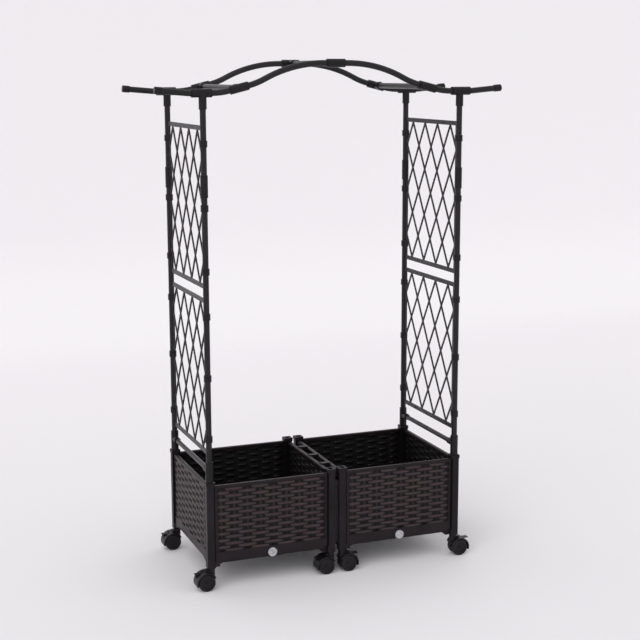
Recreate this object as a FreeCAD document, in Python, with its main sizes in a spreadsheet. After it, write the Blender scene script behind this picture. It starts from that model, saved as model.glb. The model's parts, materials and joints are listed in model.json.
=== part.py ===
import FreeCAD, Part
import os
import re
from math import atan, cos, hypot, radians, sin
from types import SimpleNamespace

# A pair of square rattan-look planter boxes on casters, clipped side by side, with a trellis
# arch on poles that stand in the four outer corner posts.
# Millimetres. Z is up from the floor, X runs along both boxes, and the fronts face -Y.
# The origin is on the floor, under the middle of the pair.

SIZES = {
    # corner posts
    "post_size": 25, "post_height": 256, "post_pitch": 372, "post_corner": 3,
    "collar_size": 28, "collar_height": 10.5, "box_gap": 12,
    "socket_depth": 55, "socket_lip": 1.5, "stem_roof": 6, "ledge_reach": 14,
    # panels: depths run outwards from the line through the post centres
    "panel_wall": 3, "wall_offset": 2, "rim_in": 4, "rim_out": 8, "rim_height": 9,
    "stile_width": 8, "stile_out": 7, "tongue_length": 3, "tongue_lift": 4,
    "skirt_lift": 19, "skirt_height": 26, "skirt_out": 8, "bracket_length": 55,
    # reservoir, drain plug and soil grid
    "tray_lift": 10, "tray_height": 52, "tray_wall": 3, "drain_height": 25, "drain_lobe": 16,
    "plug_radius": 9, "plug_length": 12, "plug_head_radius": 13.5, "plug_head": 4,
    "plug_rib": 3, "plug_rib_out": 2,
    "grid_thick": 3, "grid_hole": 5, "grid_rows": 6, "wick_radius": 26, "wick_wall": 2,
    # trellis tubes and fittings
    "pole_dia": 17, "pole_wall": 1.5, "joint_gap": 3,
    "coupler_radius": 10.6, "coupler_length": 62, "coupler_lift": 20.5,
    "low_tee_radius": 11.5, "low_tee_height": 60, "rail_radius": 7, "rail_lift": 35,
    "rail_socket_radius": 10, "rail_socket_reach": 32, "rail_seat": 12,
    "top_tee_radius": 12, "top_tee_drop": 44, "top_sleeve_radius": 11,
    "tee_arm_in": 26, "tee_arm_out": 32,
    "arch_rise": 80, "arch_flat": 37, "low_bend_share": 0.37,
    "sleeve_radius": 12, "sleeve_length": 54, "branch_radius": 11.5, "branch_reach": 34,
    "branch_seat": 14, "stub_bend": 150, "stub_angle": 5, "stub_length": 86,
    "cap_radius": 10.2, "cap_grip": 17, "cap_end": 4,
    # lattice panels and their clips
    "lattice_height": 453, "lattice_gap": 6, "lattice_lift": 18, "lattice_space": 28,
    "lattice_thick": 4, "lattice_columns": 4, "lattice_rows": 3,
    "strip_width": 4.5, "side_bar": 5, "end_bar": 13, "bar_hole": 2.5, "lattice_to_tee": 88,
    "clip_spacing": 177, "clip_height": 18, "clip_radius": 11, "clip_jaw": 8, "clip_bite": 5,
    # box joiners
    "rim_clip_width": 14, "rim_clip_thick": 2.5, "rim_clip_depth": 13, "rim_clip_inset": 3,
    "rim_clip_pitch": 96,
    "strip_depth": 12, "strip_length": 190, "strip_lift": 28, "strip_rib": 5, "strip_groove": 1.5,
    # casters
    "caster_height": 66, "caster_trail": 17, "wheel_radius": 25, "wheel_width": 17,
    "wheel_web_gap": 0.6, "web_thick": 7, "tread_round": 4, "hub_radius": 17, "hub_recess": 2.5,
    "hub_dome": 6, "hood_radius": 31, "hood_width": 44, "hood_clear": 2, "hood_skirt": 8,
    "hood_top": 5, "boss_radius": 11, "axle_radius": 3, "stem_dia": 8, "stem_length": 32,
    "stem_root": 20, "lever_side": 13, "lever_up": 26, "lever_reach": 20, "lever_width": 14,
    "lever_thick": 3, "lever_knuckle": 2.4, "trunnion_radius": 1.2, "trunnion_length": 20,
    "slot_width": 16, "slot_side": 8, "slot_up": 14,
    # clearances: tube in socket, turning pin in hole, parts that only rest on each other
    "tube_fit": 0.1, "pin_fit": 0.1, "tongue_fit": 0.15, "seat_gap": 0.3,
    # how far a cut runs past the face that it opens
    "overcut": 1,
}

doc = FreeCAD.newDocument("planter_with_trellis")
sheet = doc.addObject("Spreadsheet::Sheet", "Sheet")
for row, (alias, value) in enumerate(SIZES.items(), 1):
    sheet.set(f"A{row}", alias)
    sheet.set(f"B{row}", str(value))
    sheet.setAlias(f"B{row}", alias)
doc.recompute()
size = SimpleNamespace(**{alias: float(sheet.get(alias)) for alias in SIZES})

# Places that several pieces share, as formulas of the sheet's values.
INNER_X = "(box_gap / 2 + post_size / 2)"
OUTER_X = f"({INNER_X} + post_pitch)"
BOX_X = f"({INNER_X} + post_pitch / 2)"
POST_Y = "(post_pitch / 2)"
POST_TOP = "(caster_height + post_height)"
PANEL_TOP = "(post_height - collar_height - seat_gap)"
TRAY_TOP = "(tray_lift + tray_height)"
TUBE = "(pole_dia / 2)"
BORE = "(pole_dia / 2 + tube_fit)"
LOW_LATTICE = f"({POST_TOP} + low_tee_height + lattice_lift)"
HIGH_LATTICE = f"({LOW_LATTICE} + lattice_height + lattice_space)"
MIDDLE_CLIP_TOP = f"({HIGH_LATTICE} + lattice_height / 2 + clip_height / 2)"
POLE_JOINT = f"({MIDDLE_CLIP_TOP} + coupler_lift + coupler_length / 2)"
TEE_Z = f"({HIGH_LATTICE} + lattice_height + lattice_to_tee)"
ARCH_RUN = f"({OUTER_X} - tee_arm_in - arch_flat)"
CHORD = f"atan(arch_rise / {ARCH_RUN})"
BENDS = f"(({ARCH_RUN} - sleeve_length * cos({CHORD})) / sin(2 * {CHORD}))"
LOW_BEND = f"(low_bend_share * {BENDS})"

ABOUT_X = FreeCAD.Vector(1, 0, 0)
ABOUT_Y = FreeCAD.Vector(0, 1, 0)
ABOUT_Z = FreeCAD.Vector(0, 0, 1)
TURN_X = FreeCAD.Rotation(ABOUT_Y, 90)
TURN_Y = FreeCAD.Rotation(ABOUT_X, -90)
TURN_Z = FreeCAD.Rotation()
ALONG = {"x": TURN_X, "y": TURN_Y, "z": TURN_Z}

NEAR = 1e-3    # how close an edge lies to the place that picks it out

nodes = []


def formula(text):
    """The same formula with each of the sheet's names written as the sheet's own."""
    return re.sub(r"[a-z_]+", lambda word: "Sheet." * (word.group() in SIZES) + word.group(), str(text))


def bind(item, **formulas):
    """Binds an object's properties to formulas."""
    for name, text in formulas.items():
        item.setExpression(name, formula(text))


def place(item, x=0, y=0, z=0, turn=TURN_Z):
    """Turns an object, then binds its place."""
    item.Placement = FreeCAD.Placement(FreeCAD.Vector(), turn)
    for axis, text in zip("xyz", (x, y, z)):
        item.setExpression("Placement.Base." + axis, formula(text))


def new_body(name):
    """An empty body with its own label."""
    body = doc.addObject("PartDesign::Body", name)
    body.Label = name
    return body


def block(body, kind, x, y, z):
    """A box feature between low and high places along each axis."""
    item = body.newObject(f"PartDesign::{kind}Box", f"{body.Name}_block")
    bind(item, Length=f"({x[1]}) - ({x[0]})", Width=f"({y[1]}) - ({y[0]})", Height=f"({z[1]}) - ({z[0]})")
    place(item, x[0], y[0], z[0])
    return item


def rod(body, kind, axis, radius, length, x=0, y=0, z=0):
    """A cylinder feature that runs along an axis from its start."""
    item = body.newObject(f"PartDesign::{kind}Cylinder", f"{body.Name}_rod")
    bind(item, Radius=radius, Height=length)
    place(item, x, y, z, ALONG[axis])
    return item


def ends(low, high, side=1):
    """A low and high place, mirrored where the side is negative."""
    return (low, high) if side > 0 else (f"-({high})", f"-({low})")


def both(half):
    """The low and high places of a length about its middle."""
    return (f"-({half})", half)


def soften(body, radius, chosen, kind="Fillet"):
    """Rounds or bevels the edges of the body so far that a test picks out."""
    doc.recompute()
    base = body.Tip
    names = [f"Edge{index}" for index, edge in enumerate(base.Shape.Edges, 1) if chosen(edge)]
    item = body.newObject(f"PartDesign::{kind}", f"{body.Name}_{kind}")
    item.Base = (base, names)
    bind(item, **{"Radius" if kind == "Fillet" else "Size": radius})
    return item


def runs_along(edge, axis):
    """True for a straight edge parallel to an axis."""
    if not isinstance(edge.Curve, Part.Line):
        return False
    return abs(abs(edge.tangentAt(edge.FirstParameter).dot(axis)) - 1) < 1e-6


def upright(edge):
    return runs_along(edge, ABOUT_Z)


def group(name, members):
    """Separate solids that share one node."""
    item = doc.addObject("Part::Compound", name)
    item.Label = name
    item.Links = members
    return item


def keep(item, x=0, y=0, z=0, turn=TURN_Z):
    """Places a finished sub-part and lists it for export."""
    place(item, x, y, z, turn)
    nodes.append(item)


def solid(name, shape):
    """A sub-part whose shape is worked out from the sheet's values."""
    item = doc.addObject("Part::Feature", name)
    item.Label = name
    item.Shape = shape
    return item


# ---------------------------------------------------------------- planter boxes

def corner_post(name, side_x, side_y):
    """A hollow post: stem bore below, pole socket above, grooves for two panels.

    side_x and side_y point from the post to the middle of its box.
    """
    body = new_body(name)
    half = "post_size / 2"
    neck = "post_height - collar_height"
    block(body, "Additive", both(half), both(half), (0, neck))
    soften(body, "post_corner", upright)
    block(body, "Additive", both("collar_size / 2"), both("collar_size / 2"), (neck, "post_height"))
    rim = size.post_height - size.collar_height
    soften(body, "post_corner", lambda edge: upright(edge) and edge.CenterOfMass.z > rim)
    soften(body, "collar_height / 8", lambda edge: edge.BoundBox.ZMin > size.post_height - NEAR)
    rod(body, "Subtractive", "z", BORE, "socket_depth", z="post_height - socket_depth")
    base = "(stem_length + stem_roof)"
    rod(body, "Subtractive", "z", f"{TUBE} - socket_lip", f"post_height - socket_depth - {base}", z=base)
    rod(body, "Subtractive", "z", "stem_dia / 2 + pin_fit", "stem_length + seat_gap")
    groove = ("wall_offset - tongue_fit", "wall_offset + panel_wall + tongue_fit")
    depth = ("post_size / 2 - tongue_length - seat_gap", "post_size / 2")
    height = ("skirt_lift + tongue_lift - seat_gap", neck)
    block(body, "Subtractive", ends(*depth, side_x), ends(*groove, -side_y), height)
    block(body, "Subtractive", ends(*groove, -side_x), ends(*depth, side_y), height)
    return body


def post_ledge(name, side_x, side_y):
    """The angle round a post's foot that a corner of the reservoir stands on."""
    body = new_body(name)
    reach = ("-(wall_offset - seat_gap)", "post_size / 2 + ledge_reach")
    height = (0, "tray_lift - seat_gap")
    block(body, "Additive", ends(*reach, side_x), ends(*reach, side_y), height)
    foot = both("post_size / 2 + pin_fit")
    block(body, "Subtractive", foot, foot, height)
    return body


def post_pair(name, place_x, side_x):
    """The front and rear posts on one side of a box, with their ledges, as one node."""
    members = []
    for end, y, side_y in (("front", f"-{POST_Y}", 1), ("rear", POST_Y, -1)):
        post = corner_post(f"{name}_{end}", side_x, side_y)
        ledge = post_ledge(f"{name}_{end}_ledge", side_x, side_y)
        place(post, y=y)
        place(ledge, y=y)
        members += [post, ledge]
    keep(group(name, members), x=place_x, z="caster_height")


def box_panel(name, x, y, turn, brackets=(-1, 1), drained=False):
    """A wall panel, drawn with its outer face towards +Y.

    It has a rounded rim, edge stiles, tongues for the post grooves and a skirt with a curved
    bracket at the named ends, and, where it is drained, a lobe round the plug.
    """
    body = new_body(name)
    half = "(post_pitch - post_size) / 2"
    wall = ("wall_offset", "wall_offset + panel_wall")
    rim_base = f"({PANEL_TOP} - rim_height)"
    block(body, "Additive", both(half), wall, ("skirt_lift", f"{rim_base} + rim_height / 2"))
    block(body, "Additive", both(half), ("-rim_in", "rim_out"), (rim_base, PANEL_TOP))
    top = size.post_height - size.collar_height - size.seat_gap

    def rim_edge(edge):
        return runs_along(edge, ABOUT_X) and edge.CenterOfMass.z > top - NEAR

    soften(body, "rim_height / 3", rim_edge)
    skirt = ("wall_offset", "skirt_out")
    block(body, "Additive", both(half), skirt, ("skirt_lift", "skirt_lift + skirt_height"))
    for side in (-1, 1):
        stile = ends(f"{half} - stile_width", half, side)
        block(body, "Additive", stile, ("wall_offset", "stile_out"), ("skirt_lift", rim_base))
        tongue = ends(half, f"{half} + tongue_length", side)
        block(body, "Additive", tongue, wall, ("skirt_lift + tongue_lift", rim_base))
    drop = "(skirt_lift - seat_gap)"
    bend = f"((bracket_length ^ 2 + {drop} ^ 2) / (2 * {drop}))"
    cut_from = "wall_offset - overcut"
    for side in brackets:
        foot = ends(f"{half} - bracket_length", half, side)
        block(body, "Additive", foot, skirt, ("seat_gap", "skirt_lift"))
        centre = f"{side} * ({half} - bracket_length)"
        rod(body, "Subtractive", "y", bend, "skirt_out", centre, cut_from, f"skirt_lift - {bend}")
    if drained:
        lobe = "skirt_out - wall_offset"
        rod(body, "Additive", "y", "drain_lobe", lobe, 0, "wall_offset", "drain_height")
        bore = "plug_radius + pin_fit"
        rod(body, "Subtractive", "y", bore, "skirt_out", 0, cut_from, "drain_height")
    keep(body, x, y, "caster_height", turn)


def base_tray(name, x):
    """The water reservoir: an open tray with corners cut back round the posts."""
    body = new_body(name)
    half = f"({POST_Y} + wall_offset - seat_gap)"
    corner = f"({POST_Y} - post_size / 2 - seat_gap)"
    block(body, "Additive", both(half), both(half), ("tray_lift", TRAY_TOP))
    for side_x in (-1, 1):
        for side_y in (-1, 1):
            notch = (corner, f"{half} + overcut")
            height = ("0", f"{TRAY_TOP} + overcut")
            block(body, "Subtractive", ends(*notch, side_x), ends(*notch, side_y), height)
    hollow = ("tray_lift + tray_wall", f"{TRAY_TOP} + overcut")
    block(body, "Subtractive", both(f"{half} - tray_wall"), both(f"{corner} - tray_wall"), hollow)
    block(body, "Subtractive", both(f"{corner} - tray_wall"), both(f"{half} - tray_wall"), hollow)
    bore = "plug_radius + pin_fit"
    rod(body, "Subtractive", "y", bore, "3 * tray_wall", 0, f"-{half} - tray_wall", "drain_height")
    keep(body, x, 0, "caster_height")


def soil_grid_shape(middle):
    """A perforated floor on the tray's rim, with a wick cup that stands in the reservoir."""
    half = size.post_pitch / 2 + size.wall_offset - size.seat_gap
    corner = size.post_pitch / 2 - size.post_size / 2 - size.seat_gap
    top = size.caster_height + size.tray_lift + size.tray_height
    floor = size.caster_height + size.tray_lift + size.tray_wall + size.seat_gap
    thick = size.grid_thick
    long_corner = FreeCAD.Vector(middle - half, -corner, top)
    lengthwise = Part.makeBox(2 * half, 2 * corner, thick, long_corner)
    wide_corner = FreeCAD.Vector(middle - corner, -half, top)
    crosswise = Part.makeBox(2 * corner, 2 * half, thick, wide_corner)
    cup = Part.makeCylinder(size.wick_radius, top + thick - floor, FreeCAD.Vector(middle, 0, floor))
    cup_floor = FreeCAD.Vector(middle, 0, floor + size.wick_wall)
    inside = Part.makeCylinder(size.wick_radius - size.wick_wall, top + thick, cup_floor)
    rows = int(size.grid_rows)
    spots = [(2 * step + 1 - rows) * corner / rows for step in range(rows)]
    holes = []
    for across in spots:
        for along in spots:
            if hypot(across, along) > size.wick_radius + 2 * size.grid_hole:
                spot = FreeCAD.Vector(middle + across, along, top - size.overcut)
                holes.append(Part.makeCylinder(size.grid_hole, thick + 2 * size.overcut, spot))
    return lengthwise.fuse([crosswise, cup]).cut([inside] + holes).removeSplitter()


def drain_plug(name, x):
    """A round-headed plug through the skirt and the tray wall, drawn from its head backwards."""
    body = new_body(name)
    rod(body, "Additive", "y", "plug_head_radius", "plug_head", 0, "-plug_head")
    middle = -size.plug_head / 2
    soften(body, "plug_head / 3", lambda edge: edge.CenterOfMass.y < middle)
    rod(body, "Additive", "y", "plug_radius", "plug_length")
    rib = ("-plug_head - plug_rib_out", "-plug_head / 2")
    block(body, "Additive", both("plug_radius"), rib, both("plug_rib / 2"))
    face = f"-({POST_Y} + skirt_out + seat_gap)"
    keep(body, x, face, "caster_height + drain_height")


def rim_clip(name, y):
    """A clip that bridges the two inner rims and drops a tongue between them."""
    body = new_body(name)
    half = "rim_clip_width / 2"
    tongue = f"({INNER_X} - rim_out)"
    thick = (f"{PANEL_TOP}", f"{PANEL_TOP} + rim_clip_thick")
    block(body, "Additive", both(f"{INNER_X} - rim_clip_inset"), both(half), thick)
    drop = (f"{PANEL_TOP} - rim_clip_depth", PANEL_TOP)
    block(body, "Additive", both(f"{tongue} - seat_gap"), both(half), drop)
    place(body, 0, y, "caster_height")
    return body


def joint_strip(name, y):
    """A ribbed strip that fills the gap between two inner posts."""
    body = new_body(name)
    wide = "box_gap / 2"
    height = ("strip_lift", "strip_lift + strip_length")
    block(body, "Additive", both(wide), both("strip_depth / 2"), height)
    groove = ("strip_lift + strip_rib", "strip_lift + strip_rib + 2 * strip_groove")
    skin = ("-strip_depth / 2", "-strip_depth / 2 + strip_groove")
    first = block(body, "Subtractive", both(wide), skin, groove)
    doc.recompute()
    rows = body.newObject("PartDesign::LinearPattern", name + "_grooves")
    rows.Originals = [first]
    rows.Direction = ([axis for axis in body.Origin.OriginFeatures if axis.Role == "Z_Axis"][0], [""])
    count = int((size.strip_length - size.strip_rib) / (2 * size.strip_rib))
    rows.Occurrences = count
    bind(rows, Length=f"2 * strip_rib * {count - 1}")
    body.Tip = rows
    place(body, 0, y, "caster_height")
    return body


# ---------------------------------------------------------------- trellis

class Route:
    """The centre line of a tube in an X-Z plane: straight runs and arcs that meet smoothly."""

    def __init__(self, x, y, z, heading):
        self.point = FreeCAD.Vector(x, y, z)
        self.heading = heading
        self.edges = []

    def step(self, length, heading):
        return self.point + length * FreeCAD.Vector(cos(heading), 0, sin(heading))

    def ahead(self, length):
        """Goes straight on."""
        far = self.step(length, self.heading)
        self.edges.append(Part.makeLine(self.point, far))
        self.point = far
        return self

    def bend(self, radius, angle):
        """Turns through an angle, upwards where it is positive."""
        chord = 2 * radius * sin(abs(angle) / 2)
        middle = self.step(2 * radius * sin(abs(angle) / 4), self.heading + angle / 4)
        far = self.step(chord, self.heading + angle / 2)
        self.edges.append(Part.Arc(self.point, middle, far).toShape())
        self.point = far
        self.heading += angle
        return self

    def tube(self, radius, wall):
        """A hollow tube along the route."""
        spine = Part.Wire(self.edges)
        start = self.edges[0].valueAt(self.edges[0].FirstParameter)
        along = self.edges[0].tangentAt(self.edges[0].FirstParameter)
        skins = []
        for edge_radius in (radius, radius - wall):
            ring = Part.Wire(Part.makeCircle(edge_radius, start, along))
            skins.append(spine.makePipeShell([ring], True, False))
        return skins[0].cut(skins[1])


def mirrored(shape):
    """The same shape on the other side of the middle plane between the boxes."""
    return shape.mirror(FreeCAD.Vector(), ABOUT_X)


def arch_shape(y):
    """The six tubes of one arch: two stubs, two low bends and two high bends."""
    radius = size.pole_dia / 2
    outer_x = size.box_gap / 2 + size.post_size / 2 + size.post_pitch
    low = size.caster_height + size.post_height + size.low_tee_height + size.lattice_lift
    tee_z = low + 2 * size.lattice_height + size.lattice_space + size.lattice_to_tee
    run = outer_x - size.tee_arm_in - size.arch_flat
    chord = atan(size.arch_rise / run)
    bends = (run - size.sleeve_length * cos(chord)) / sin(2 * chord)
    low_bend = size.low_bend_share * bends
    gap = size.joint_gap / 2
    half_sleeve = size.sleeve_length / 2 - gap

    stub = Route(outer_x + gap, y, tee_z, 0).ahead(size.tee_arm_out - gap)
    stub.bend(size.stub_bend, radians(size.stub_angle)).ahead(size.stub_length)

    # the low tube is followed inwards, so its heading starts towards -X and turns upwards
    low_tube = Route(gap - outer_x, y, tee_z, 0).ahead(size.tee_arm_in - gap)
    low_tube.bend(low_bend, chord).ahead(half_sleeve)
    high_tube = Route(low_tube.point.x, y, low_tube.point.z, chord)
    high_tube.point = high_tube.step(2 * gap, chord)
    high_tube.ahead(half_sleeve).bend(low_bend, chord).bend(bends - low_bend, -2 * chord)
    high_tube.ahead(size.arch_flat - gap)

    pieces = []
    for route in (stub, low_tube, high_tube):
        tube = route.tube(radius, size.pole_wall)
        pieces += [tube, mirrored(tube)]
    return Part.makeCompound(pieces)


def straight_tube(name, axis, radius, wall, length):
    """A straight hollow tube from its start along an axis."""
    body = new_body(name)
    rod(body, "Additive", axis, radius, length)
    rod(body, "Subtractive", axis, f"{radius} - {wall}", length)
    return body


def pole(name, side_x, side_y):
    """A pole in two lengths, from the post's socket up to the top tee."""
    foot = f"({POST_TOP} - socket_depth)"
    lower_length = f"{POLE_JOINT} - joint_gap / 2 - {foot}"
    lower = straight_tube(name + "_lower", "z", TUBE, "pole_wall", lower_length)
    upper_foot = f"({POLE_JOINT} + joint_gap / 2)"
    upper_length = f"{TEE_Z} - top_tee_radius - {upper_foot}"
    upper = straight_tube(name + "_upper", "z", TUBE, "pole_wall", upper_length)
    place(upper, z=f"{upper_foot} - {foot}")
    keep(group(name, [lower, upper]), f"{side_x} * {OUTER_X}", f"{side_y} * {POST_Y}", foot)


def coupler(name, side_x, side_y):
    """A sleeve over the joint in a pole."""
    body = new_body(name)
    rod(body, "Additive", "z", "coupler_radius", "coupler_length")
    soften(body, "(coupler_radius - pole_dia / 2) / 3", lambda edge: not isinstance(edge.Curve, Part.Line))
    rod(body, "Subtractive", "z", BORE, "coupler_length")
    place(body, f"{side_x} * {OUTER_X}", f"{side_y} * {POST_Y}", f"{MIDDLE_CLIP_TOP} + coupler_lift")
    return body


def low_tee(name, side_x, side_y):
    """A tee that stands on the post round the pole, with a side socket for the cross rail."""
    body = new_body(name)
    rod(body, "Additive", "z", "low_tee_radius", "low_tee_height")
    soften(body, "(low_tee_radius - pole_dia / 2) / 3", lambda edge: not isinstance(edge.Curve, Part.Line))
    start = 0 if side_y < 0 else "-rail_socket_reach"
    rod(body, "Additive", "y", "rail_socket_radius", "rail_socket_reach", 0, start, "rail_lift")
    rod(body, "Subtractive", "z", BORE, "low_tee_height")
    seat = "rail_seat" if side_y < 0 else "-rail_socket_reach"
    depth = "rail_socket_reach - rail_seat"
    rod(body, "Subtractive", "y", "rail_radius + tube_fit", depth, 0, seat, "rail_lift")
    place(body, f"{side_x} * {OUTER_X}", f"{side_y} * {POST_Y}", POST_TOP)
    return body


def cross_rail(name, side_x):
    """The tube between a front and a rear low tee."""
    body = straight_tube(name, "y", "rail_radius", "pole_wall", f"2 * ({POST_Y} - rail_seat)")
    place(body, f"{side_x} * {OUTER_X}", f"rail_seat - {POST_Y}", f"{POST_TOP} + rail_lift")
    return body


def top_tee(name, side_x, side_y):
    """The tee at a pole's head: the arch goes in on one side and the stub on the other."""
    body = new_body(name)
    rod(body, "Additive", "x", "top_tee_radius", "tee_arm_in + tee_arm_out", "-tee_arm_in")
    rod(body, "Additive", "z", "top_sleeve_radius", "top_tee_drop", z="-top_tee_drop")
    rod(body, "Subtractive", "x", BORE, "tee_arm_in + tee_arm_out", "-tee_arm_in")
    rod(body, "Subtractive", "z", BORE, "top_tee_drop - top_tee_radius", z="-top_tee_drop")
    turn = FreeCAD.Rotation(ABOUT_Z, 0 if side_x > 0 else 180)
    place(body, f"{side_x} * {OUTER_X}", f"{side_y} * {POST_Y}", TEE_Z, turn)
    return body


def arch_connector(name, side_y):
    """A sleeve along the arch with a branch that reaches inwards for the cross tube."""
    body = new_body(name)
    rod(body, "Additive", "x", "sleeve_radius", "sleeve_length", "-sleeve_length / 2")
    start = 0 if side_y < 0 else "-branch_reach"
    rod(body, "Additive", "y", "branch_radius", "branch_reach", 0, start)
    rod(body, "Subtractive", "x", BORE, "sleeve_length", "-sleeve_length / 2")
    seat = "branch_seat" if side_y < 0 else "-branch_reach"
    rod(body, "Subtractive", "y", BORE, "branch_reach - branch_seat", 0, seat)
    return body


SIDE_X = f"({OUTER_X} - tee_arm_in - {LOW_BEND} * sin({CHORD}) - sleeve_length / 2 * cos({CHORD}))"
SIDE_Z = f"({TEE_Z} + {LOW_BEND} * (1 - cos({CHORD})) + sleeve_length / 2 * sin({CHORD}))"
CROWN_RISE = f"(2 * sin({CHORD}) ^ 2 * {BENDS} + sleeve_length * sin({CHORD}))"
CROWN_Z = f"({TEE_Z} + {CROWN_RISE})"
STATIONS = {"left": (f"-{SIDE_X}", SIDE_Z, -1), "top": ("0", CROWN_Z, 0), "right": (SIDE_X, SIDE_Z, 1)}


def lean(item, tilt):
    """Tips an object about Y by the slope of the arch at its side connectors."""
    if tilt:
        item.Placement.Rotation = FreeCAD.Rotation(ABOUT_Y, 90)
        item.setExpression("Placement.Rotation.Angle", formula(f"{tilt} * {CHORD}"))


def end_cap(name, side_x, side_y):
    """A cup over the open end of a stub."""
    body = new_body(name)
    rod(body, "Additive", "x", "cap_radius", "cap_grip + cap_end", "-cap_grip")
    soften(body, "cap_end / 2", lambda edge: edge.CenterOfMass.x > size.cap_end - NEAR)
    rod(body, "Subtractive", "x", BORE, "cap_grip", "-cap_grip")
    reach = "tee_arm_out + stub_bend * sin(stub_angle) + stub_length * cos(stub_angle)"
    lift = "stub_bend * (1 - cos(stub_angle)) + stub_length * sin(stub_angle)"
    rise = -size.stub_angle if side_x > 0 else 180 + size.stub_angle
    turn = FreeCAD.Rotation(ABOUT_Y, rise)
    place(body, f"{side_x} * ({OUTER_X} + {reach})", f"{side_y} * {POST_Y}", f"{TEE_Z} + {lift}", turn)
    return body


def lattice_shape():
    """A flat panel in the Y-Z plane: two end bars, two side bars and crossing strips."""
    width = size.post_pitch - size.pole_dia - 2 * size.lattice_gap
    height = size.lattice_height
    back = -size.lattice_thick / 2
    columns = int(size.lattice_columns)
    rows = int(size.lattice_rows)
    cell_w = width / columns
    cell_h = (height - 2 * size.end_bar) / rows
    to_strip = cell_w * cell_h / 2 / hypot(cell_w, cell_h)
    shrink = 1 - size.strip_width / 2 / to_strip
    half_w = cell_w / 2 * shrink
    half_h = cell_h / 2 * shrink

    def sheet_face(points):
        corners = [FreeCAD.Vector(back, y, z) for y, z in points + points[:1]]
        return Part.Face(Part.makePolygon(corners))

    def rectangle(across, up):
        return sheet_face([(-across, -up), (across, -up), (across, up), (-across, up)])

    window = rectangle(width / 2 - size.side_bar, height / 2 - size.end_bar)
    holes = []
    for column in range(2 * columns + 1):
        for row in range(2 * rows + 1):
            if (column + row) % 2:
                continue
            y = (column / 2 - columns / 2) * cell_w
            z = (row / 2 - rows / 2) * cell_h
            corners = [(y - half_w, z), (y, z - half_h), (y + half_w, z), (y, z + half_h)]
            diamond = sheet_face(corners)
            holes.append(diamond.common(window))
    for side in (-1, 1):
        for end in (-1, 1):
            spot = FreeCAD.Vector(back, side * width / 4, end * (height - size.end_bar) / 2)
            rim = Part.makeCircle(size.bar_hole, spot, ABOUT_X)
            holes.append(Part.Face(Part.Wire(rim)))
    plate = rectangle(width / 2, height / 2).cut(holes)
    return plate.extrude(FreeCAD.Vector(size.lattice_thick, 0, 0))


def clip_shape(side_y):
    """A ring round the pole with a jaw that bites the edge of a lattice panel."""
    ring = Part.makeCylinder(size.clip_radius, size.clip_height)
    edge = size.pole_dia / 2 + size.lattice_gap
    reach = edge + size.clip_bite
    side = FreeCAD.Vector(-size.clip_jaw / 2, 0, 0)
    jaw = Part.makeBox(size.clip_jaw, reach, size.clip_height, side)
    bore = Part.makeCylinder(size.pole_dia / 2 + size.tube_fit, size.clip_height)
    slot_wide = size.lattice_thick + 2 * size.tube_fit
    start = FreeCAD.Vector(-slot_wide / 2, edge - size.seat_gap, 0)
    slot = Part.makeBox(slot_wide, reach, size.clip_height, start)
    shape = ring.fuse(jaw).cut([bore, slot])
    return shape if side_y < 0 else shape.mirror(FreeCAD.Vector(), ABOUT_Y)


def clips_shape():
    """Three clips on each side of each of the four lattice panels."""
    outer_x = size.box_gap / 2 + size.post_size / 2 + size.post_pitch
    post_y = size.post_pitch / 2
    first = size.caster_height + size.post_height + size.low_tee_height + size.lattice_lift
    pieces = []
    for floor in (first, first + size.lattice_height + size.lattice_space):
        middle = floor + size.lattice_height / 2 - size.clip_height / 2
        for step in (-1, 0, 1):
            height = middle + step * size.clip_spacing
            for side_x in (-1, 1):
                for side_y in (-1, 1):
                    spot = FreeCAD.Vector(side_x * outer_x, side_y * post_y, height)
                    pieces.append(clip_shape(side_y).translated(spot))
    return Part.makeCompound(pieces)


# ---------------------------------------------------------------- casters
# Each caster is drawn about its stem's axis on the floor, with the wheel trailing towards +X.

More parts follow.
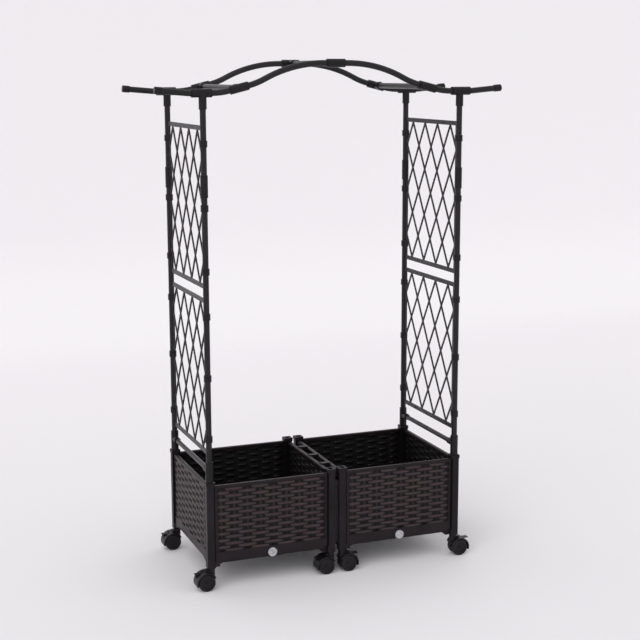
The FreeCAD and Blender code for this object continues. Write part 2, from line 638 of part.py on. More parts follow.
def caster_hood(name):
    """The hood over both wheels, its web between them, and the stem's boss."""
    body = new_body(name + "_shell")
    axle = ("caster_trail", "0", "wheel_radius")
    top = "(caster_height - seat_gap)"
    rod(body, "Additive", "y", "hood_radius", "hood_width", axle[0], "-hood_width / 2", axle[2])
    half_width = size.hood_width / 2
    soften(body, "hood_radius / 12", lambda edge: abs(abs(edge.CenterOfMass.y) - half_width) < NEAR)
    lead = ("-2 * hood_radius", "caster_trail - wheel_radius")
    block(body, "Subtractive", lead, both("hood_width"), ("-hood_radius", "3 * hood_radius"))
    rod(body, "Additive", "z", "boss_radius", f"{top} - wheel_radius", z="wheel_radius")
    neck = (f"{top} - hood_top - boss_radius", f"{top} - hood_top")
    block(body, "Additive", ("0", "caster_trail"), both("boss_radius"), neck)
    for side in (-1, 1):
        start = "web_thick / 2" if side > 0 else "-web_thick / 2 - hood_width"
        rod(body, "Subtractive", "y", "wheel_radius + hood_clear", "hood_width", axle[0], start, axle[2])
    under = ("-hood_radius", "wheel_radius - hood_skirt")
    block(body, "Subtractive", ("-2 * hood_radius", "3 * hood_radius"), both("hood_width"), under)
    rod(body, "Subtractive", "y", "axle_radius + pin_fit", "web_thick * 2", axle[0], "-web_thick", axle[2])
    window_x = ("caster_trail + slot_side", "caster_trail + 2 * hood_radius")
    window_z = ("wheel_radius + slot_up", "wheel_radius + 2 * hood_radius")
    block(body, "Subtractive", window_x, both("slot_width / 2"), window_z)
    pivot = ("caster_trail + lever_side", "wheel_radius + lever_up")
    span = "trunnion_length + 2 * seat_gap"
    rod(body, "Subtractive", "y", "trunnion_radius + pin_fit", span, pivot[0], f"-({span}) / 2", pivot[1])
    root = f"{top} - stem_root"
    rod(body, "Subtractive", "z", "stem_dia / 2", "stem_root", z=root)
    stem = new_body(name + "_stem")
    rod(stem, "Additive", "z", "stem_dia / 2", "stem_root + seat_gap + stem_length", z=root)
    soften(stem, "stem_dia / 8", lambda edge: edge.BoundBox.ZMin > size.caster_height + 1, "Chamfer")
    return group(name, [body, stem])


def caster_wheels(name):
    """Two wheels and the axle that they share."""
    members = []
    for side, label in ((-1, "_wheel_a"), (1, "_wheel_b")):
        body = new_body(name + label)
        inner = "web_thick / 2 + wheel_web_gap"
        start = inner if side > 0 else f"-({inner}) - wheel_width"
        rod(body, "Additive", "y", "wheel_radius", "wheel_width", "caster_trail", start, "wheel_radius")
        soften(body, "tread_round", lambda edge: not isinstance(edge.Curve, Part.Line))
        face = f"{inner} + wheel_width"
        recess = f"{face} - hub_recess" if side > 0 else f"-({face})"
        rod(body, "Subtractive", "y", "hub_radius", "hub_recess", "caster_trail", recess, "wheel_radius")
        rod(body, "Additive", "y", "hub_dome", "hub_recess", "caster_trail", recess, "wheel_radius")
        bore = "2 * wheel_width"
        rod(body, "Subtractive", "y", "axle_radius", bore, "caster_trail", start, "wheel_radius")
        members.append(body)
    pin = new_body(name + "_axle")
    reach = "(web_thick / 2 + wheel_web_gap + wheel_width - hub_recess / 2)"
    rod(pin, "Additive", "y", "axle_radius", f"2 * {reach}", "caster_trail", f"-{reach}", "wheel_radius")
    return group(name, members + [pin])


def brake_lever(name):
    """A foot tab on two trunnions, with a short cam over the wheels."""
    body = new_body(name)
    pivot = ("caster_trail + lever_side", "wheel_radius + lever_up")
    half = "lever_width / 2"
    rod(body, "Additive", "y", "lever_knuckle", "lever_width", pivot[0], f"-{half}", pivot[1])
    arm = (pivot[0], f"{pivot[0]} + lever_reach")
    thick = (f"{pivot[1]} - lever_thick / 2", f"{pivot[1]} + lever_thick / 2")
    block(body, "Additive", arm, both(half), thick)
    tip = size.caster_trail + size.lever_side + size.lever_reach
    soften(body, "lever_thick / 3", lambda edge: edge.BoundBox.XMin > tip - NEAR)
    pin = "trunnion_length / 2"
    rod(body, "Additive", "y", "trunnion_radius", "trunnion_length", pivot[0], f"-{pin}", pivot[1])
    return body


# ---------------------------------------------------------------- assembly

PANEL_TURNS = {"back": 0, "front": 180, "left": 90, "right": -90}


def facing(direction):
    """The turn that points a panel's outer face to the back, front, left or right."""
    return FreeCAD.Rotation(ABOUT_Z, PANEL_TURNS[direction])


for box, side in (("left", -1), ("right", 1)):
    away = "left" if side < 0 else "right"
    towards = "right" if side < 0 else "left"
    middle = f"{side} * {BOX_X}"
    post_pair(f"{box}_outer_posts", f"{side} * {OUTER_X}", -side)
    post_pair(f"{box}_inner_posts", f"{side} * {INNER_X}", side)
    front_y = f"-{POST_Y}"
    box_panel(f"{box}_front_panel", middle, front_y, facing("front"), brackets=(1,), drained=True)
    box_panel(f"{box}_back_panel", middle, POST_Y, facing("back"), brackets=(1,))
    box_panel(f"{box}_outer_panel", f"{side} * {OUTER_X}", 0, facing(away))
    box_panel(f"{box}_inner_panel", f"{side} * {INNER_X}", 0, facing(towards))
    base_tray(f"{box}_base_tray", middle)
    drain_plug(f"{box}_drain_plug", middle)

middle_x = size.box_gap / 2 + size.post_size / 2 + size.post_pitch / 2
grids = Part.makeCompound([soil_grid_shape(-middle_x), soil_grid_shape(middle_x)])
keep(solid("soil_grids", grids))

clips = [rim_clip(f"rim_clip_{index}", f"{index} * rim_clip_pitch") for index in (-1, 0, 1)]
strips = [joint_strip("joint_strip_front", f"-{POST_Y}"), joint_strip("joint_strip_rear", POST_Y)]
keep(group("box_joiners", clips + strips))

CORNERS = [("front_left", -1, -1), ("rear_left", -1, 1), ("front_right", 1, -1), ("rear_right", 1, 1)]
for corner, side_x, side_y in CORNERS:
    pole(f"{corner}_pole", side_x, side_y)
keep(group("pole_couplers", [coupler(f"{corner}_coupler", *sides) for corner, *sides in CORNERS]))
keep(group("low_tees", [low_tee(f"{corner}_low_tee", *sides) for corner, *sides in CORNERS]))
keep(group("top_tees", [top_tee(f"{corner}_top_tee", *sides) for corner, *sides in CORNERS]))
keep(group("end_caps", [end_cap(f"{corner}_end_cap", *sides) for corner, *sides in CORNERS]))
keep(group("cross_rails", [cross_rail("left_cross_rail", -1), cross_rail("right_cross_rail", 1)]))

keep(solid("front_arch_tubes", arch_shape(-size.post_pitch / 2)))
keep(solid("rear_arch_tubes", arch_shape(size.post_pitch / 2)))
connectors = []
cross_tubes = []
crossing_length = f"2 * ({POST_Y} - branch_seat)"
for station, (x, z, tilt) in STATIONS.items():
    for side_y in (-1, 1):
        fitting = arch_connector(f"{station}_connector_{'front' if side_y < 0 else 'rear'}", side_y)
        place(fitting, x, f"{side_y} * {POST_Y}", z)
        lean(fitting, tilt)
        connectors.append(fitting)
    crossing = straight_tube(f"{station}_cross_tube", "y", TUBE, "pole_wall", crossing_length)
    place(crossing, x, f"branch_seat - {POST_Y}", z, TURN_Z)
    cross_tubes.append(crossing)
keep(group("arch_connectors", connectors))
keep(group("arch_cross_tubes", cross_tubes))

for side, away in ((-1, "left"), (1, "right")):
    for level, floor in (("lower", LOW_LATTICE), ("upper", HIGH_LATTICE)):
        lattice = solid(f"{away}_{level}_lattice", lattice_shape())
        keep(lattice, f"{side} * {OUTER_X}", 0, f"{floor} + lattice_height / 2")
keep(solid("lattice_clips", clips_shape()))

for box, side in (("left", -1), ("right", 1)):
    turn = FreeCAD.Rotation(ABOUT_Z, 0 if side > 0 else 180)
    for post, x in (("outer", OUTER_X), ("inner", INNER_X)):
        for end, side_y in (("front", -1), ("rear", 1)):
            stem = f"{box}_{post}_{end}"
            spot = (f"{side} * {x}", f"{side_y} * {POST_Y}", 0, turn)
            keep(caster_hood(f"{stem}_caster_hood"), *spot)
            keep(caster_wheels(f"{stem}_caster_wheels"), *spot)
            keep(brake_lever(f"{stem}_brake_lever"), *spot)

doc.recompute()

for item in doc.Objects:
    if "Invalid" in item.State or "Error" in item.State:
        raise RuntimeError(f"{item.Label} did not build: {item.State}")
os.makedirs("parts", exist_ok=True)
for item in nodes:
    if item.Shape.isNull() or not item.Shape.isValid():
        raise RuntimeError(f"{item.Label} has no valid shape")
    item.Shape.exportStep(f"parts/{item.Label}.step")
print(len(nodes), "nodes")
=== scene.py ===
"""The looks of a pair of rattan-look planter boxes on casters with a tube trellis over them."""

import json
import math

import bmesh
import bpy
from mathutils import Matrix, Vector


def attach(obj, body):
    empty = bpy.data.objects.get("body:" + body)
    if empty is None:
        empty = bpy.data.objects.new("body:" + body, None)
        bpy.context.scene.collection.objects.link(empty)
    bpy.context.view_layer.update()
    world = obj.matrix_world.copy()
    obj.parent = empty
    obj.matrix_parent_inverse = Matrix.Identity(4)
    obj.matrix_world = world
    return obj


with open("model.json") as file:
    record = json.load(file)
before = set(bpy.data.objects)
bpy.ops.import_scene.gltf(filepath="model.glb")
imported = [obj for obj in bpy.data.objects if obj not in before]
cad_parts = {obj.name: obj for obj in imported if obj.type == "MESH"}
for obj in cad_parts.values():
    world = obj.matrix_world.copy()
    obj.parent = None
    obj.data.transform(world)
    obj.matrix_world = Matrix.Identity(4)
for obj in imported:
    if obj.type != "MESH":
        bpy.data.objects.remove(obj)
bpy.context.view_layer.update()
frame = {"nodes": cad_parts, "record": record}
nodes = frame["nodes"]

# ---------------------------------------------------------------- driving sizes, in metres

POST_PITCH = 0.372
POST_SIZE = 0.025
BOX_GAP = 0.012
INNER_X = BOX_GAP / 2 + POST_SIZE / 2
OUTER_X = INNER_X + POST_PITCH
BOX_X = INNER_X + POST_PITCH / 2
POST_Y = POST_PITCH / 2

# The seam on a post beside each panel, painted dark as the shade in its gap.
SEAM_INSET = 0.0085
SEAM_FOOT = 0.085
SEAM_TOP = 0.3112
SEAM_DEPTH = 0.0016

# A panel's field of weave, between its stiles, skirt and rim.
PANEL_HALF = (POST_PITCH - POST_SIZE) / 2
STILE_WIDTH = 0.008
WEAVE_HALF = PANEL_HALF - STILE_WIDTH
SKIRT_TOP = 0.111
RIM_BASE = 0.3022

# The strands: flattened rods, one over another. Depths are measured outwards from the line
# through the post centres.
ROW_BASE = 0.1074
STRAND_COUNT = 19
STRAND_PITCH = (RIM_BASE - ROW_BASE) / STRAND_COUNT
STRAND_TALL = 0.0112
STRAND_THICK = 0.0052
STRAND_SIDES = 10
STRAND_OUT = 0.0052
STRAND_IN = 0.0010
BOW = 0.0014
DIP_FLAT = 0.0085
DIP_SLOPE = 0.0080
DIP_STATIONS = (0, 0.0085, 0.0105, 0.0125, 0.0145, 0.0165, 0.0220, 0.0300)
SHALLOW_ROWS = 3
SHALLOW_IN = 0.0024
END_DEPTH = 0.0042
END_BITE = 0.0015
END_ROOM = 0.002

# The upright stakes that the strands pass in front of and behind.
STAKE_PITCH = 0.0402
STAKE_SHIFT = -0.0050
STAKE_REACH = 5
STAKE_LEAN = -0.0015
STAKE_WIDE = 0.0090
STAKE_THICK = 0.0042
STAKE_DEPTH = 0.0042
STAKE_SIDES = 12
STAKES = range(-STAKE_REACH, STAKE_REACH + 1)

# The depths between which the painted highlight on the crests grows, and between which the painted shade
# in the crevices fades.
CREST_DEPTHS = (0.0066, 0.0078)
CREVICE_DEPTHS = (0.0054, 0.0076)

# The strands' drawn grain, in waves to the metre, and how deep it is.
GRAIN_ALONG = 40
GRAIN_ACROSS = 1500
GRAIN_DEPTH = 0.0005

# How softly one tone of a finish turns into the next.
EDGE_BLUR = 0.0005
STILE_BLUR = 0.0002
SEAM_BLUR = 0.0003

# ---------------------------------------------------------------- shader writing


def add_node(tree, kind, settings=None, sockets=None):
    """Adds one node: its settings first, then the values or links of its sockets."""
    node = tree.nodes.new(kind)
    for name, value in (settings or {}).items():
        setattr(node, name, value)
    for name, value in (sockets or {}).items():
        if isinstance(value, Wire):
            tree.links.new(value.socket, node.inputs[name])
        else:
            node.inputs[name].default_value = value
    return node


class Wire:
    """A shader socket that takes part in Python arithmetic."""

    def __init__(self, tree, socket):
        self.tree = tree
        self.socket = socket

    def joined(self, operation, first, second):
        node = add_node(self.tree, "ShaderNodeMath", {"operation": operation}, {0: first, 1: second})
        return Wire(self.tree, node.outputs[0])

    def __add__(self, other):
        return self.joined("ADD", self, other)

    __radd__ = __add__

    def __sub__(self, other):
        return self.joined("SUBTRACT", self, other)

    def __rsub__(self, other):
        return self.joined("SUBTRACT", other, self)

    def __mul__(self, other):
        return self.joined("MULTIPLY", self, other)

    __rmul__ = __mul__

    def __truediv__(self, other):
        return self.joined("DIVIDE", self, other)

    def most(self, other):
        return self.joined("MAXIMUM", self, other)

    def least(self, other):
        return self.joined("MINIMUM", self, other)

    def size(self):
        return self.joined("ABSOLUTE", self, 0)

    def floor(self):
        return self.joined("FLOOR", self, 0)

    def ramp(self, low, high):
        """0 below low, 1 above high and straight between."""
        span = {"From Min": low, "From Max": high}
        node = add_node(self.tree, "ShaderNodeMapRange", {}, {"Value": self, **span})
        return Wire(self.tree, node.outputs[0])

    def past(self, place, blur):
        """0 before a place and 1 past it, with a short blur on both sides."""
        return self.ramp(place - blur, place + blur)


class Paint:
    """A material, its surface shader, and short ways to add nodes to it."""

    def __init__(self, name, **constants):
        self.block = bpy.data.materials.new(name)
        self.block.use_nodes = True
        self.tree = self.block.node_tree
        self.surface = self.tree.nodes["Principled BSDF"]
        for socket, value in constants.items():
            self.surface.inputs[socket.replace("_", " ")].default_value = value
        self.place = Wire(self.tree, self.add("ShaderNodeTexCoord").outputs["Object"])
        split = self.add("ShaderNodeSeparateXYZ", {}, {0: self.place})
        self.x, self.y, self.z = (Wire(self.tree, socket) for socket in split.outputs)

    def add(self, kind, settings=None, sockets=None):
        return add_node(self.tree, kind, settings, sockets)

    def feed(self, **sockets):
        """Feeds the surface shader."""
        for name, wire in sockets.items():
            self.tree.links.new(wire.socket, self.surface.inputs[name.replace("_", " ")])

    def vector(self, x, y, z):
        node = self.add("ShaderNodeCombineXYZ", {}, {"X": x, "Y": y, "Z": z})
        return Wire(self.tree, node.outputs[0])

    def noise(self, scale, detail, spot=None, roughness=0.5):
        """Soft noise of 0 to 1: its scale in waves to the metre, and how much finer noise it holds."""
        sockets = {"Vector": spot or self.place, "Scale": scale, "Detail": detail, "Roughness": roughness}
        return Wire(self.tree, self.add("ShaderNodeTexNoise", {}, sockets).outputs["Fac"])

    def chance(self, spot):
        """A random value for each whole-numbered place."""
        node = self.add("ShaderNodeTexWhiteNoise", {"noise_dimensions": "3D"}, {"Vector": spot})
        return Wire(self.tree, node.outputs["Value"])

    def mix(self, first, second, share):
        """A colour between two colours."""
        node = self.add("ShaderNodeMix", {"data_type": "RGBA"}, {0: share, 6: first, 7: second})
        return Wire(self.tree, node.outputs[2])

    def bump(self, height, distance):
        """A normal tilted by a height, where a height of 1 stands for the distance in metres."""
        node = self.add("ShaderNodeBump", {}, {"Height": height, "Distance": distance})
        return Wire(self.tree, node.outputs["Normal"])


def tone(red, green, blue):
    """A linear colour from screen values of 0 to 255."""

    def straight(value):
        share = value / 255
        return share / 12.92 if share <= 0.04045 else ((share + 0.055) / 1.055) ** 2.4

    return (straight(red), straight(green), straight(blue), 1.0)


def from_box_centre(paint):
    """How far a place is from the middle of its own box, in X and in Y."""
    return (paint.x.size() - BOX_X).size(), paint.y.size()


# ---------------------------------------------------------------- finishes


def moulded(name, dark, light, roughness, grain_scale, grain_depth):
    """Injection-moulded plastic: flow clouds, a fine moulded grain and rubbed patches."""
    paint = Paint(name, Specular_IOR_Level=0.25)
    clouds = paint.noise(9, detail=3)
    dust = paint.noise(60, detail=4, roughness=0.65)
    share = clouds * 0.6 + dust * 0.4
    paint.feed(Base_Color=paint.mix(dark, light, share.ramp(0.3, 0.72)))
    rubbed = paint.noise(140, detail=2)
    paint.feed(Roughness=clouds * 0.16 + rubbed * 0.1 + (roughness - 0.13))
    grain = paint.noise(grain_scale, detail=1)
    paint.feed(Normal=paint.bump(grain, grain_depth))
    return paint.block


def weave_paint():
    """Woven resin: strands that shift between brown, olive and plum, with drawn-out grain lines."""
    paint = Paint("woven_resin", Specular_IOR_Level=0.25)
    brown, olive, plum = tone(55, 40, 43), tone(58, 47, 37), tone(57, 40, 49)
    dusky, streaky, lit, shaded = tone(36, 27, 31), tone(100, 87, 90), tone(78, 64, 68), tone(11, 6, 9)
    patch = paint.noise(12, detail=1)
    drift = paint.noise(22, detail=2, roughness=0.6)
    base = paint.mix(brown, olive, patch.ramp(0.54, 0.66))
    base = paint.mix(base, plum, drift.ramp(0.5, 0.64))

    # Each stretch of a strand, as long as the stakes are apart, has a tone of its own.
    row = ((paint.z - ROW_BASE) / STRAND_PITCH).floor()
    step = ((paint.x + paint.y) / STAKE_PITCH).floor()
    lot = paint.chance(paint.vector(row, step, 0.5))
    base = paint.mix(base, dusky, lot * 0.6)

    # The grain is long along a strand and fine across it.
    drawn = paint.vector(paint.x * GRAIN_ALONG, paint.y * GRAIN_ALONG, paint.z * GRAIN_ACROSS)
    streaks = paint.noise(1, detail=3, spot=drawn, roughness=0.6)
    base = paint.mix(base, streaky, streaks.ramp(0.5, 0.8) * 0.5)

    # Painted highlight: the crests are lighter. Painted shade: what lies deep between the strands is dark.
    across, along = from_box_centre(paint)
    depth = across.most(along) - POST_Y
    base = paint.mix(base, lit, depth.ramp(*CREST_DEPTHS) * 0.25)
    base = paint.mix(shaded, base, depth.ramp(*CREVICE_DEPTHS))
    paint.feed(Base_Color=base)
    paint.feed(Roughness=streaks * 0.25 + 0.34)
    paint.feed(Normal=paint.bump(streaks, GRAIN_DEPTH))
    return paint.block


def panel_paint():
    """The panel's own plastic: satin on rim, stiles and skirt; behind the strands duller, and painted near
    black there as shade.
    """
    paint = Paint("panel_plastic", Specular_IOR_Level=0.25)
    above_skirt = paint.z.past(SKIRT_TOP, EDGE_BLUR)
    below_rim = 1 - paint.z.past(RIM_BASE, EDGE_BLUR)
    across, along = from_box_centre(paint)
    between_stiles = 1 - across.least(along).past(WEAVE_HALF, STILE_BLUR)
    behind = above_skirt * below_rim * between_stiles
    clouds = paint.noise(12, detail=3)
    satin = paint.mix(tone(15, 8, 12), tone(27, 17, 22), clouds.ramp(0.3, 0.7))
    # Behind the strands the wall is painted near black: painted shade of the recess.
    paint.feed(Base_Color=paint.mix(satin, tone(9, 7, 8), behind))
    paint.feed(Roughness=clouds * 0.15 + behind * 0.3 + 0.34)
    paint.feed(Normal=paint.bump(paint.noise(900, detail=1), distance=0.00012))
    return paint.block


def post_paint():
    """The posts' satin plastic, sunk in the seams beside the panels' stiles and painted dark there as
    shade.
    """
    paint = Paint("post_plastic", Specular_IOR_Level=0.15)
    clouds = paint.noise(11, detail=3)
    face = paint.mix(tone(20, 16, 19), tone(33, 28, 32), clouds.ramp(0.3, 0.7))
    across, along = from_box_centre(paint)
    beside_panel = 1 - (across.least(along) - POST_Y).past(-SEAM_INSET, SEAM_BLUR)
    above_foot = paint.z.ramp(SEAM_FOOT - EDGE_BLUR, SEAM_FOOT)
    below_collar = 1 - paint.z.ramp(SEAM_TOP, SEAM_TOP + EDGE_BLUR)
    seam = beside_panel * (above_foot * below_collar)
    # The seams are painted near black: painted shade of a deep, narrow gap.
    paint.feed(Base_Color=paint.mix(face, tone(4, 3, 4), seam))
    paint.feed(Roughness=clouds * 0.15 + seam * 0.45 + 0.32)
    paint.feed(Normal=paint.bump(paint.noise(1100, detail=1) * 0.05 - seam, SEAM_DEPTH))
    return paint.block


def tube_paint():
    """Coated tube: satin black, a little cloudy, with small pale scuffs."""
    paint = Paint("coated_tube", Specular_IOR_Level=0.35)
    clouds = paint.noise(18, detail=3)
    scuffs = paint.noise(240, detail=3, roughness=0.7)
    base = paint.mix(tone(11, 9, 11), tone(19, 16, 19), clouds.ramp(0.3, 0.7))
    base = paint.mix(base, tone(58, 56, 60), scuffs.ramp(0.7, 0.8) * 0.3)
    paint.feed(Base_Color=base)
    paint.feed(Roughness=clouds * 0.12 + scuffs * 0.1 + 0.24)
    paint.feed(Normal=paint.bump(scuffs, distance=0.00005))
    return paint.block


def plug_paint():
    """Milky plug: pale grey with a cloudy, slightly uneven tone."""
    paint = Paint("milky_plug", Subsurface_Weight=0.2, Subsurface_Scale=0.004)
    clouds = paint.noise(120, detail=3)
    paint.feed(Base_Color=paint.mix(tone(158, 158, 163), tone(190, 190, 195), clouds.ramp(0.3, 0.7)))
    paint.feed(Roughness=clouds * 0.2 + 0.28)
    paint.feed(Normal=paint.bump(clouds, distance=0.00015))
    return paint.block


# ---------------------------------------------------------------- meshes


def smooth_mesh(name, bm, material):
    """A mesh data block from a bmesh, with its faces turned one way and shaded smooth."""
    bmesh.ops.recalc_face_normals(bm, faces=bm.faces)
    mesh = bpy.data.meshes.new(name)
    bm.to_mesh(mesh)
    bm.free()
    mesh.materials.append(material)
    mesh.polygons.foreach_set("use_smooth", [True] * len(mesh.polygons))
    return mesh


def in_scene(name, data):
    """A new object of the scene."""
    item = bpy.data.objects.new(name, data)
    bpy.context.collection.objects.link(item)
    return item


def drawn_rod(path, sides, thick, tall):
    """A closed rod of flattened section, drawn from point to point along X."""
    bm = bmesh.new()
    turn = Matrix.Rotation(math.pi / 2, 4, "Y")
    bmesh.ops.create_circle(bm, segments=sides, radius=0.5, matrix=turn)
    bmesh.ops.scale(bm, vec=(1, thick, tall), verts=bm.verts)
    bmesh.ops.translate(bm, vec=path[0], verts=bm.verts)
    ring = bm.edges[:]
    for near, far in zip(path, path[1:]):
        drawn = bmesh.ops.extrude_edge_only(bm, edges=ring)["geom"]
        ring = [item for item in drawn if isinstance(item, bmesh.types.BMEdge)]
        verts = [item for item in drawn if isinstance(item, bmesh.types.BMVert)]
        bmesh.ops.translate(bm, vec=Vector(far) - Vector(near), verts=verts)
    bmesh.ops.holes_fill(bm, edges=bm.edges)
    return bm


def gather(bm, piece):
    """Adds a finished bmesh to another."""
    mesh = bpy.data.meshes.new("gathered")
    piece.to_mesh(mesh)
    piece.free()
    bm.from_mesh(mesh)
    bpy.data.meshes.remove(mesh)


# ---------------------------------------------------------------- woven panels
# A panel is drawn with x along it, y outwards from the line through the post centres, and z up.


def strand_depth(x, row):
    """Where a strand's middle lies: behind every other stake, and bowed out over the rest."""
    beat = (x - STAKE_SHIFT) / STAKE_PITCH + row
    away = STAKE_PITCH * abs((beat + 1) % 2 - 1)
    slope = min(max((away - DIP_FLAT) / DIP_SLOPE, 0), 1)
    dip = (1 + math.cos(math.pi * slope)) / 2
    deep = SHALLOW_IN if row < SHALLOW_ROWS else STRAND_IN
    out = STRAND_OUT - BOW * (1 - min(away / STAKE_PITCH, 1)) ** 2
    return out - (out - deep) * dip


def strand_path(row):
    """The points of one strand from stile to stile, close together where it dips.

    Their places are rounded, so that two stakes that ask for the same place share a point.
    """
    places = set()
    for stake in STAKES:
        if (stake + row) % 2 == 0:
            behind = STAKE_SHIFT + stake * STAKE_PITCH
            places.update(round(behind + side * step, 5) for step in DIP_STATIONS for side in (-1, 1))
            places.add(round(behind + STAKE_PITCH, 5))
    inner = sorted(x for x in places if abs(x) < WEAVE_HALF - END_ROOM)
    path = [(x, strand_depth(x, row), 0) for x in inner]
    end = WEAVE_HALF + END_BITE
    return [(-end, END_DEPTH, 0)] + path + [(end, END_DEPTH, 0)]


def woven_wall():
    """The strands and stakes of one panel, as one mesh."""
    wall = bmesh.new()
    for row in range(STRAND_COUNT):
        strand = drawn_rod(strand_path(row), STRAND_SIDES, STRAND_THICK, STRAND_TALL)
        height = ROW_BASE + (row + 0.5) * STRAND_PITCH
        bmesh.ops.translate(strand, vec=(0, 0, height), verts=strand.verts)
        gather(wall, strand)
    upright = Matrix.Rotation(-math.pi / 2, 3, "Y")
    for stake in STAKES:
        x = STAKE_SHIFT + stake * STAKE_PITCH
        if abs(x) < WEAVE_HALF - STAKE_WIDE / 2:
            bar = drawn_rod([(SKIRT_TOP, 0, 0), (RIM_BASE, 0, 0)], STAKE_SIDES, STAKE_THICK, STAKE_WIDE)
            bmesh.ops.rotate(bar, matrix=upright, verts=bar.verts)
            bmesh.ops.translate(bar, vec=(x + STAKE_LEAN, STAKE_DEPTH, 0), verts=bar.verts)
            gather(wall, bar)
    mesh = bpy.data.meshes.new("woven_wall")
    wall.to_mesh(mesh)
    wall.free()
    return mesh


# A panel is drawn facing the back. These are the turns about Z that face it each way, in degrees.
PANEL_TURNS = {"back": 0, "front": 180, "left": 90, "right": -90}


def hang_weaves(material):
    """One woven wall on each of the eight panels."""
    wall_mesh = woven_wall()
    for box, inward, side in (("left", "right", -1), ("right", "left", 1)):
        spots = {
            "front": ("front", side * BOX_X, -POST_Y),
            "back": ("back", side * BOX_X, POST_Y),
            "outer": (box, side * OUTER_X, 0),
            "inner": (inward, side * INNER_X, 0),
        }
        for wall, (facing, x, y) in spots.items():
            bm = bmesh.new()
            bm.from_mesh(wall_mesh)
            turn = Matrix.Rotation(math.radians(PANEL_TURNS[facing]), 4, "Z")
            spot = Matrix.Translation((x, y, 0))
            bmesh.ops.transform(bm, matrix=spot @ turn, verts=bm.verts)
            name = f"{box}_{wall}_weave"
            piece = in_scene(name, smooth_mesh(name, bm, material))
            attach(piece, "planter")
    bpy.data.meshes.remove(wall_mesh)


# ---------------------------------------------------------------- the parts' finishes

# After the two tones, a moulding's numbers are its roughness, its grain's scale and the grain's depth.
FINISHES = {
    "rattan_plastic": panel_paint(),
    "black_plastic": moulded("black_moulding", tone(13, 10, 13), tone(22, 18, 21), 0.42, 1100, 0.00014),
    "grid_plastic": moulded("grid_moulding", tone(21, 18, 20), tone(31, 27, 30), 0.55, 700, 0.0002),
    "clear_plastic": plug_paint(),
    "caster_plastic": moulded("caster_moulding", tone(15, 11, 14), tone(25, 20, 24), 0.38, 1300, 0.0001),
    "wheel_plastic": moulded("wheel_moulding", tone(19, 15, 18), tone(29, 24, 28), 0.5, 1500, 0.0001),
    "tube_plastic": tube_paint(),
    "lattice_plastic": moulded("lattice_moulding", tone(22, 19, 22), tone(32, 29, 32), 0.36, 1200, 0.0001),
    "fitting_plastic": moulded("fitting_moulding", tone(13, 11, 13), tone(22, 19, 22), 0.4, 1300, 0.00012),
}
POST_FINISH = post_paint()

for subpart in frame["record"]["subparts"]:
    node_name = subpart["node"]
    finish = POST_FINISH if node_name.endswith("_posts") else FINISHES[subpart["material_slot"]]
    for material_slot in nodes[node_name].material_slots:
        material_slot.link = "OBJECT"
        material_slot.material = finish

hang_weaves(weave_paint())

# ---------------------------------------------------------------- floor, backdrop, light and camera

FLOOR_HALF = 9.0
BACKDROP_Y = 3.6
BACKDROP_TOP = 6.0
SWEEP_RADIUS = 0.6
SWEEP_STEPS = 24
FLOOR_COLOUR = (0.916, 0.896, 0.911, 1)
FLOOR_ROUGHNESS = 0.8

AIR_COLOUR = (0.95, 0.95, 0.97, 1)
AIR_STRENGTH = 0.76
SEEN_COLOUR = (0.86, 0.83, 0.85, 1)

KEY_TOWARDS = (0.5, 0.62, -0.62)
KEY_STRENGTH = 0.9
KEY_SPREAD = 55

CAMERA_PLACE = (-1.4421, -3.7603, 1.4826)
CAMERA_HEADING = -21.286
CAMERA_PITCH = -10.504
CAMERA_ROLL = -0.153
CAMERA_LENS = 75.82
SENSOR_WIDTH = 36


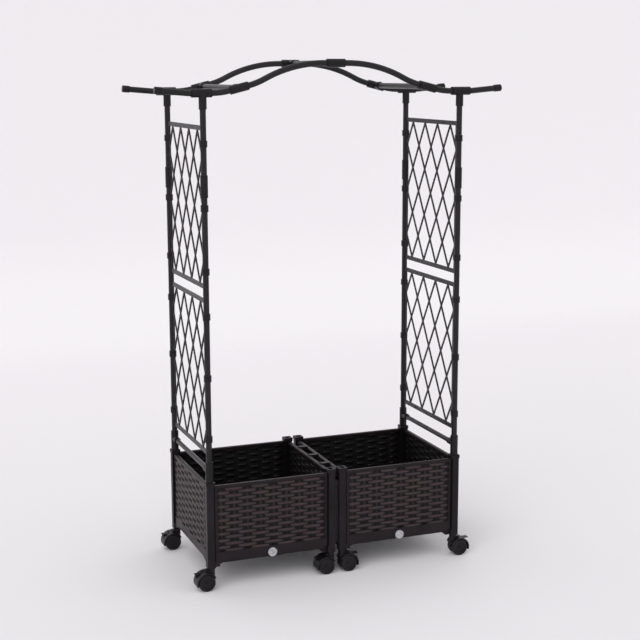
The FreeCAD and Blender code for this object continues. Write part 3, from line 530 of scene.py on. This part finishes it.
def studio_sweep():
    """A floor that curves up into a plain backdrop."""
    paint = Paint("pale_floor", Base_Color=FLOOR_COLOUR, Roughness=FLOOR_ROUGHNESS, Specular_IOR_Level=0.1)
    bm = bmesh.new()
    bend_y = BACKDROP_Y - SWEEP_RADIUS
    line = [bm.verts.new((0, -FLOOR_HALF, 0)), bm.verts.new((0, bend_y, 0))]
    bm.edges.new(line)
    bend = bmesh.ops.spin(bm, geom=[line[1]], cent=(0, bend_y, SWEEP_RADIUS), axis=(1, 0, 0),
                          angle=math.pi / 2, steps=SWEEP_STEPS)
    top = bm.verts.new((0, BACKDROP_Y, BACKDROP_TOP))
    bm.edges.new((bend["geom_last"][0], top))
    bmesh.ops.translate(bm, vec=(-FLOOR_HALF, 0, 0), verts=bm.verts)
    swept = bmesh.ops.extrude_edge_only(bm, edges=bm.edges)["geom"]
    far = [item for item in swept if isinstance(item, bmesh.types.BMVert)]
    bmesh.ops.translate(bm, vec=(2 * FLOOR_HALF, 0, 0), verts=far)
    sweep = in_scene("studio_sweep", smooth_mesh("studio_sweep", bm, paint.block))


def studio_air():
    """Even light from all around. The camera and reflections see the floor's own pale tone there."""
    world = bpy.data.worlds.new("studio_air")
    world.use_nodes = True
    tree = world.node_tree
    light = tree.nodes["Background"]
    light.inputs["Color"].default_value = AIR_COLOUR
    light.inputs["Strength"].default_value = AIR_STRENGTH
    seen = add_node(tree, "ShaderNodeBackground", {}, {"Color": SEEN_COLOUR})
    path = add_node(tree, "ShaderNodeLightPath")
    camera, glossy, through = (
        Wire(tree, path.outputs[ray]) for ray in ("Is Camera Ray", "Is Glossy Ray", "Is Transmission Ray")
    )
    shaders = {1: Wire(tree, light.outputs[0]), 2: Wire(tree, seen.outputs[0])}
    blend = add_node(tree, "ShaderNodeMixShader", {}, {0: camera.most(glossy).most(through), **shaders})
    tree.links.new(blend.outputs[0], tree.nodes["World Output"].inputs["Surface"])
    bpy.context.scene.world = world


def soft_light(name, towards, strength, spread):
    """An even light from far away, soft by its angular spread."""
    lamp = bpy.data.lights.new(name, "SUN")
    lamp.energy = strength
    lamp.angle = math.radians(spread)
    item = in_scene(name, lamp)
    item.rotation_euler = Vector(towards).to_track_quat("-Z", "Y").to_euler()


def photo_camera():
    """The camera of the photograph: its place, heading, pitch from level, roll and lens."""
    data = bpy.data.cameras.new("photo_camera")
    data.lens = CAMERA_LENS
    data.sensor_width = SENSOR_WIDTH
    camera = in_scene("photo_camera", data)
    heading = Matrix.Rotation(math.radians(CAMERA_HEADING), 4, "Z")
    pitch = Matrix.Rotation(math.radians(90 + CAMERA_PITCH), 4, "X")
    roll = Matrix.Rotation(math.radians(CAMERA_ROLL), 4, "Z")
    camera.matrix_world = Matrix.Translation(CAMERA_PLACE) @ heading @ pitch @ roll
    bpy.context.scene.camera = camera


studio_sweep()
soft_light("key_light", KEY_TOWARDS, KEY_STRENGTH, KEY_SPREAD)
photo_camera()
studio_air()
bpy.context.scene.view_settings.view_transform = "Standard"
